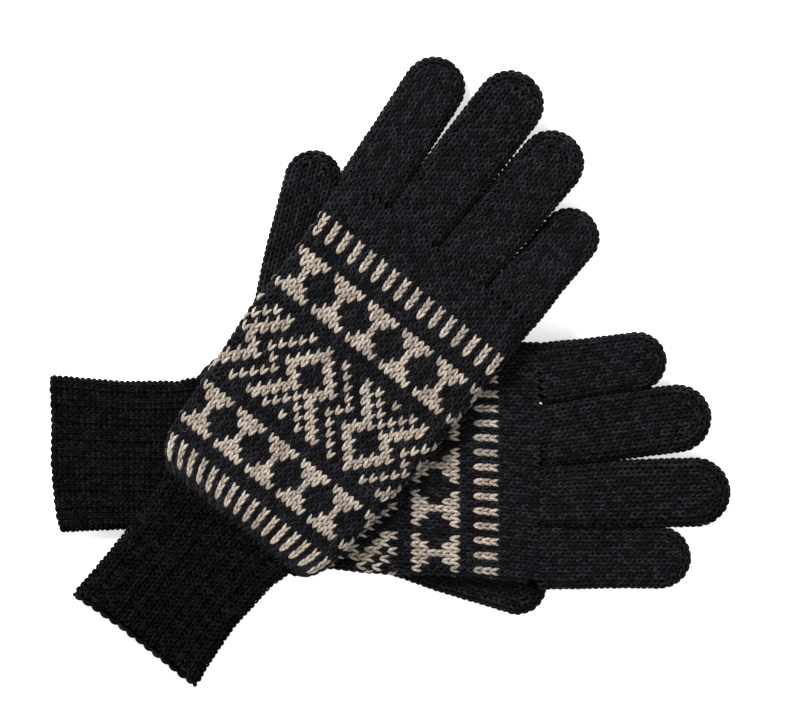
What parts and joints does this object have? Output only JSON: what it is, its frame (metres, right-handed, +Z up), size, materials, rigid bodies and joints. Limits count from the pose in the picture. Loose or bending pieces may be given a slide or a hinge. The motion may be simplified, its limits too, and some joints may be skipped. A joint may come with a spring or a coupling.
{
  "type": "knitted gloves",
  "caption": "Pair of knitted wool gloves with ribbed cuffs and a pale stranded pattern on a dark ground, laid flat and crossed.",
  "frame": {"origin": "middle of the pair, on the surface it lies on", "axes": "+X along the lower glove from cuff to fingertips, +Y across it towards its little finger, +Z up"},
  "size_m": [0.2646, 0.242, 0.0257],
  "materials": {
    "plain_knit": "soft matt wool, plain knitted",
    "rib_knit": "soft matt wool, ribbed",
    "stranded_knit": "matt wool, dark ground with pale stranded pattern"
  },
  "bodies": {
    "left_hand": {"left_patterned_hand": "stranded_knit", "left_thumb_gusset": "plain_knit"},
    "left_cuff": {"left_ribbed_cuff": "rib_knit", "left_cast_on_edge": "rib_knit"},
    "left_index": {"left_index_finger": "plain_knit"},
    "left_index_end": {"left_index_fingertip": "plain_knit"},
    "left_middle": {"left_middle_finger": "plain_knit"},
    "left_middle_end": {"left_middle_fingertip": "plain_knit"},
    "left_ring": {"left_ring_finger": "plain_knit"},
    "left_ring_end": {"left_ring_fingertip": "plain_knit"},
    "left_little": {"left_little_finger": "plain_knit"},
    "left_little_end": {"left_little_fingertip": "plain_knit"},
    "left_thumb_root": {"left_thumb": "plain_knit"},
    "left_thumb_end": {"left_thumb_tip": "plain_knit"},
    "right_hand": {"right_patterned_hand": "stranded_knit", "right_thumb_gusset": "plain_knit"},
    "right_cuff": {"right_ribbed_cuff": "rib_knit", "right_cast_on_edge": "rib_knit"},
    "right_index": {"right_index_finger": "plain_knit"},
    "right_index_end": {"right_index_fingertip": "plain_knit"},
    "right_middle": {"right_middle_finger": "plain_knit"},
    "right_middle_end": {"right_middle_fingertip": "plain_knit"},
    "right_ring": {"right_ring_finger": "plain_knit"},
    "right_ring_end": {"right_ring_fingertip": "plain_knit"},
    "right_little": {"right_little_finger": "plain_knit"},
    "right_little_end": {"right_little_fingertip": "plain_knit"},
    "right_thumb_root": {"right_thumb": "plain_knit"},
    "right_thumb_end": {"right_thumb_tip": "plain_knit"}
  },
  "joints": [
    {"name": "right_glove_lift", "type": "slide", "parent": "left_hand", "child": "right_hand", "axis": [0, 0, 1], "range_m": [0, 0.15]},
    {"name": "left_wrist_bend", "type": "hinge", "parent": "left_hand", "child": "left_cuff", "pos_m": [-0.07581, -0.03133, 0.0115], "axis": [0, -1, 0], "range_deg": [0, 60]},
    {"name": "left_index_bend", "type": "hinge", "parent": "left_hand", "child": "left_index", "pos_m": [0.06369, -0.07173, 0.0115], "axis": [0.007, 1, 0], "range_deg": [-25, 50]},
    {"name": "left_index_tip_bend", "type": "hinge", "parent": "left_index", "child": "left_index_end", "pos_m": [0.08858, -0.07191, 0.004], "axis": [0.007, 1, 0], "range_deg": [-10, 50]},
    {"name": "left_middle_bend", "type": "hinge", "parent": "left_hand", "child": "left_middle", "pos_m": [0.06369, -0.04793, 0.0115], "axis": [-0.0209, 0.9998, 0], "range_deg": [-25, 50]},
    {"name": "left_middle_tip_bend", "type": "hinge", "parent": "left_middle", "child": "left_middle_end", "pos_m": [0.09582, -0.04726, 0.004], "axis": [-0.0209, 0.9998, 0], "range_deg": [-10, 50]},
    {"name": "left_ring_bend", "type": "hinge", "parent": "left_hand", "child": "left_ring", "pos_m": [0.06369, -0.02373, 0.0115], "axis": [-0.1253, 0.9921, 0], "range_deg": [-25, 50]},
    {"name": "left_ring_tip_bend", "type": "hinge", "parent": "left_ring", "child": "left_ring_end", "pos_m": [0.09199, -0.02016, 0.004], "axis": [-0.1253, 0.9921, 0], "range_deg": [-10, 50]},
    {"name": "left_little_bend", "type": "hinge", "parent": "left_hand", "child": "left_little", "pos_m": [0.06369, 0.00047, 0.0115], "axis": [-0.1288, 0.9917, 0], "range_deg": [-25, 50]},
    {"name": "left_little_tip_bend", "type": "hinge", "parent": "left_little", "child": "left_little_end", "pos_m": [0.08261, 0.00292, 0.004], "axis": [-0.1288, 0.9917, 0], "range_deg": [-10, 50]},
    {"name": "left_thumb_swing", "type": "hinge", "parent": "left_hand", "child": "left_thumb_root", "pos_m": [-0.00231, -0.06733, 0.0036], "axis": [0, 0, -1], "range_deg": [0, 45]},
    {"name": "left_thumb_tip_bend", "type": "hinge", "parent": "left_thumb_root", "child": "left_thumb_end", "pos_m": [0.02638, -0.0761, 0.0036], "axis": [0.2924, 0.9563, 0], "range_deg": [0, 60]},
    {"name": "right_wrist_bend", "type": "hinge", "parent": "right_hand", "child": "right_cuff", "pos_m": [-0.06269, -0.05861, 0.0217], "axis": [-0.7771, 0.6293, 0], "range_deg": [0, 60]},
    {"name": "right_index_bend", "type": "hinge", "parent": "right_hand", "child": "right_index", "pos_m": [-0.00629, 0.07523, 0.0217], "axis": [-0.8443, 0.5358, 0], "range_deg": [-25, 50]},
    {"name": "right_index_tip_bend", "type": "hinge", "parent": "right_index", "child": "right_index_end", "pos_m": [0.00678, 0.09583, 0.01273], "axis": [-0.8443, 0.5358, 0], "range_deg": [-10, 50]},
    {"name": "right_middle_bend", "type": "hinge", "parent": "right_hand", "child": "right_middle", "pos_m": [0.0122, 0.06025, 0.0217], "axis": [-0.7869, 0.617, 0], "range_deg": [-25, 50]},
    {"name": "right_middle_tip_bend", "type": "hinge", "parent": "right_middle", "child": "right_middle_end", "pos_m": [0.03182, 0.08526, 0.01283], "axis": [-0.7869, 0.617, 0], "range_deg": [-10, 50]},
    {"name": "right_ring_bend", "type": "hinge", "parent": "right_hand", "child": "right_ring", "pos_m": [0.03101, 0.04502, 0.0217], "axis": [-0.7593, 0.6508, 0], "range_deg": [-25, 50]},
    {"name": "right_ring_tip_bend", "type": "hinge", "parent": "right_ring", "child": "right_ring_end", "pos_m": [0.0493, 0.06636, 0.01275], "axis": [-0.7593, 0.6508, 0], "range_deg": [-10, 50]},
    {"name": "right_little_bend", "type": "hinge", "parent": "right_hand", "child": "right_little", "pos_m": [0.04982, 0.02979, 0.0217], "axis": [-0.7547, 0.6561, 0], "range_deg": [-25, 50]},
    {"name": "right_little_tip_bend", "type": "hinge", "parent": "right_little", "child": "right_little_end", "pos_m": [0.06189, 0.04368, 0.01268], "axis": [-0.7547, 0.6561, 0], "range_deg": [-10, 50]},
    {"name": "right_thumb_swing", "type": "hinge", "parent": "right_hand", "child": "right_thumb_root", "pos_m": [-0.04441, 0.02117, 0.01281], "axis": [0, 0, 1], "range_deg": [0, 45]},
    {"name": "right_thumb_tip_bend", "type": "hinge", "parent": "right_thumb_root", "child": "right_thumb_end", "pos_m": [-0.03639, 0.0499, 0.00967], "axis": [-0.9632, 0.2689, 0], "range_deg": [-10, 60]}
  ]
}
